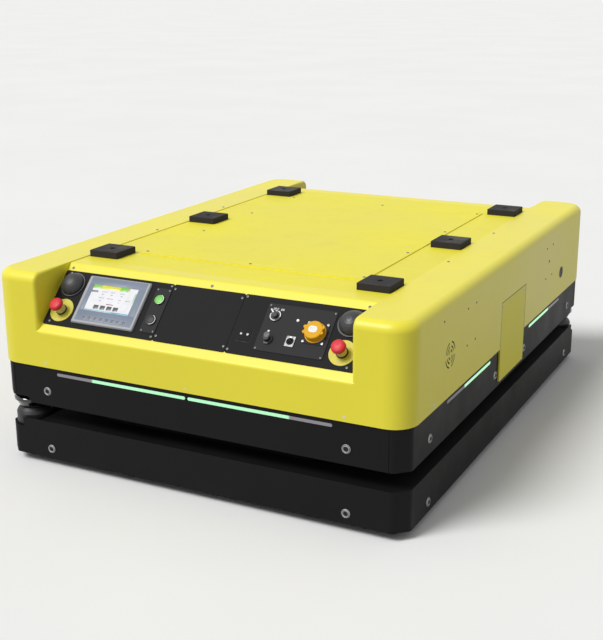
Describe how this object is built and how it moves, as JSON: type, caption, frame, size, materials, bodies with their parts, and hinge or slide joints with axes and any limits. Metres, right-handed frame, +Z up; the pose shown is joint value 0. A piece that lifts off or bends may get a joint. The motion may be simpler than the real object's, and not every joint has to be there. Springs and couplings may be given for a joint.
{
  "type": "autonomous mobile robot",
  "caption": "Low flat-deck mobile robot: sloped control panel between two towers, rubber load pads, scanning slot all round, sprung drive wheels and swivel castors.",
  "frame": {"origin": "on the floor, under the middle of the body", "axes": "+Z up, +Y towards the rear, +X to the right in a front view; the control panel looks along -Y"},
  "size_m": [1.319, 1.74, 0.612],
  "materials": {
    "cover_yellow": "satin sprayed yellow",
    "sheet_yellow": "satin yellow powder coat",
    "sheet_black": "satin black powder coat",
    "frame_steel": "matt dark grey paint",
    "pad_rubber": "matt moulded rubber",
    "panel_black": "fine textured black",
    "terminal_grey": "satin grey plastic frame",
    "display": "lit display under clear cover",
    "estop_red": "satin red plastic",
    "estop_yellow": "yellow plate and pale collar",
    "button_metal": "bright bezel ring",
    "start_green": "green lens",
    "reset_black": "black lens",
    "dome_black": "matt black plastic",
    "switch_black": "black plastic",
    "socket_grey": "pale plastic flange",
    "cap_amber": "amber plastic",
    "socket_metal": "die-cast flange",
    "speaker_black": "black",
    "led_diffuser": "lit diffuser",
    "bolt_steel": "bright zinc",
    "scanner_grey": "dark grey housing",
    "scanner_window": "smoked window",
    "battery_case": "moulded case",
    "cabinet_case": null,
    "drive_metal": "cast aluminium",
    "drive_tyre": "polyurethane tread on its hub",
    "spring_rubber": "hollow rubber spring",
    "castor_steel": "zinc-plated pressed steel",
    "castor_tyre": "elastic rubber tread on a nylon centre"
  },
  "bodies": {
    "chassis": {"antenna_domes": "dome_black", "band_front": "sheet_black", "band_left": "sheet_black", "band_rear": "sheet_black", "band_right": "sheet_black", "base_plate": "frame_steel", "battery_pack": "battery_case", "body_cover": "cover_yellow", "bulkheads": "frame_steel", "button_bodies": "button_metal", "button_plate": "panel_black", "connector_plate": "panel_black", "control_cabinet": "cabinet_case", "deck_plate": "sheet_yellow", "drive_spring_left": "spring_rubber", "drive_spring_right": "spring_rubber", "estop_bases": "estop_yellow", "girders": "frame_steel", "hmi_housing": "terminal_grey", "hmi_screen": "display", "lid_plate": "sheet_yellow", "light_strips": "led_diffuser", "load_pads": "pad_rubber", "lower_skirt": "sheet_black", "panel_centre": "panel_black", "panel_left": "panel_black", "panel_rear": "panel_black", "panel_right": "panel_black", "panel_sockets": "socket_metal", "port_grommets": "speaker_black", "power_socket": "socket_grey", "running_gear_mounts": "castor_steel", "scanner_bodies": "scanner_grey", "scanner_windows": "scanner_window", "side_hatch_left": "sheet_yellow", "side_hatch_right": "sheet_yellow", "slot_wall": "sheet_black", "speakers": "speaker_black", "switch_base": "switch_black", "trim_bolts": "bolt_steel"},
    "estop_head_front_left": {"estop_head_front_left": "estop_red"},
    "estop_head_front_right": {"estop_head_front_right": "estop_red"},
    "estop_head_rear_left": {"estop_head_rear_left": "estop_red"},
    "estop_head_rear_right": {"estop_head_rear_right": "estop_red"},
    "start_button": {"start_button": "start_green"},
    "reset_button": {"reset_button": "reset_black"},
    "switch_knob": {"switch_knob": "switch_black"},
    "socket_cap": {"socket_cap": "cap_amber"},
    "drive_arm_left": {"drive_arm_left": "drive_metal"},
    "drive_arm_right": {"drive_arm_right": "drive_metal"},
    "drive_wheel_left": {"drive_wheel_left": "drive_tyre"},
    "drive_wheel_right": {"drive_wheel_right": "drive_tyre"},
    "castor_fork_front_left": {"castor_fork_front_left": "castor_steel"},
    "castor_wheel_front_left": {"castor_wheel_front_left": "castor_tyre"},
    "castor_fork_front_right": {"castor_fork_front_right": "castor_steel"},
    "castor_wheel_front_right": {"castor_wheel_front_right": "castor_tyre"},
    "castor_fork_rear_left": {"castor_fork_rear_left": "castor_steel"},
    "castor_wheel_rear_left": {"castor_wheel_rear_left": "castor_tyre"},
    "castor_fork_rear_right": {"castor_fork_rear_right": "castor_steel"},
    "castor_wheel_rear_right": {"castor_wheel_rear_right": "castor_tyre"}
  },
  "joints": [
    {"name": "estop_push_front_left", "type": "slide", "parent": "chassis", "child": "estop_head_front_left", "axis": [0, 0.7071, -0.7071], "range_m": [0, 0.0045]},
    {"name": "estop_push_front_right", "type": "slide", "parent": "chassis", "child": "estop_head_front_right", "axis": [0, 0.7071, -0.7071], "range_m": [0, 0.0045]},
    {"name": "estop_push_rear_left", "type": "slide", "parent": "chassis", "child": "estop_head_rear_left", "axis": [0, -0.7071, -0.7071], "range_m": [0, 0.0045]},
    {"name": "estop_push_rear_right", "type": "slide", "parent": "chassis", "child": "estop_head_rear_right", "axis": [0, -0.7071, -0.7071], "range_m": [0, 0.0045]},
    {"name": "start_button_press", "type": "slide", "parent": "chassis", "child": "start_button", "axis": [0, 0.7071, -0.7071], "range_m": [0, 0.003], "stiffness_N_per_m": 800, "springref_m": -0.003},
    {"name": "reset_button_press", "type": "slide", "parent": "chassis", "child": "reset_button", "axis": [0, 0.7071, -0.7071], "range_m": [0, 0.003], "stiffness_N_per_m": 800, "springref_m": -0.003},
    {"name": "main_switch_turn", "type": "hinge", "parent": "chassis", "child": "switch_knob", "pos_m": [0.2275, -0.7657, 0.53903], "axis": [0, -0.7071, 0.7071], "range_deg": [-90, 0]},
    {"name": "socket_cap_turn", "type": "hinge", "parent": "chassis", "child": "socket_cap", "pos_m": [0.3593, -0.79802, 0.52227], "axis": [0, -0.7071, 0.7071], "range_deg": [0, 60]},
    {"name": "drive_arm_swing_left", "type": "hinge", "parent": "chassis", "child": "drive_arm_left", "pos_m": [-0.42, 0.24, 0.13], "axis": [1, 0, 0], "range_deg": [-2.5, 2.5], "stiffness_Nm_per_rad": 2000, "springref_deg": 4.13, "deforming": ["drive_spring_left"]},
    {"name": "drive_wheel_spin_left", "type": "hinge", "parent": "drive_arm_left", "child": "drive_wheel_left", "pos_m": [-0.47, 0, 0.09], "axis": [1, 0, 0], "continuous": true},
    {"name": "drive_arm_swing_right", "type": "hinge", "parent": "chassis", "child": "drive_arm_right", "pos_m": [0.42, 0.24, 0.13], "axis": [1, 0, 0], "range_deg": [-2.5, 2.5], "stiffness_Nm_per_rad": 2000, "springref_deg": 4.13, "deforming": ["drive_spring_right"]},
    {"name": "drive_wheel_spin_right", "type": "hinge", "parent": "drive_arm_right", "child": "drive_wheel_right", "pos_m": [0.47, 0, 0.09], "axis": [1, 0, 0], "continuous": true},
    {"name": "castor_swivel_front_left", "type": "hinge", "parent": "chassis", "child": "castor_fork_front_left", "pos_m": [-0.37, -0.56, 0.17], "axis": [0, 0, 1], "continuous": true},
    {"name": "castor_roll_front_left", "type": "hinge", "parent": "castor_fork_front_left", "child": "castor_wheel_front_left", "pos_m": [-0.37, -0.522, 0.0625], "axis": [1, 0, 0], "continuous": true},
    {"name": "castor_swivel_front_right", "type": "hinge", "parent": "chassis", "child": "castor_fork_front_right", "pos_m": [0.37, -0.56, 0.17], "axis": [0, 0, 1], "continuous": true},
    {"name": "castor_roll_front_right", "type": "hinge", "parent": "castor_fork_front_right", "child": "castor_wheel_front_right", "pos_m": [0.37, -0.522, 0.0625], "axis": [1, 0, 0], "continuous": true},
    {"name": "castor_swivel_rear_left", "type": "hinge", "parent": "chassis", "child": "castor_fork_rear_left", "pos_m": [-0.37, 0.56, 0.17], "axis": [0, 0, 1], "continuous": true},
    {"name": "castor_roll_rear_left", "type": "hinge", "parent": "castor_fork_rear_left", "child": "castor_wheel_rear_left", "pos_m": [-0.37, 0.598, 0.0625], "axis": [1, 0, 0], "continuous": true},
    {"name": "castor_swivel_rear_right", "type": "hinge", "parent": "chassis", "child": "castor_fork_rear_right", "pos_m": [0.37, 0.56, 0.17], "axis": [0, 0, 1], "continuous": true},
    {"name": "castor_roll_rear_right", "type": "hinge", "parent": "castor_fork_rear_right", "child": "castor_wheel_rear_right", "pos_m": [0.37, 0.598, 0.0625], "axis": [1, 0, 0], "continuous": true}
  ]
}
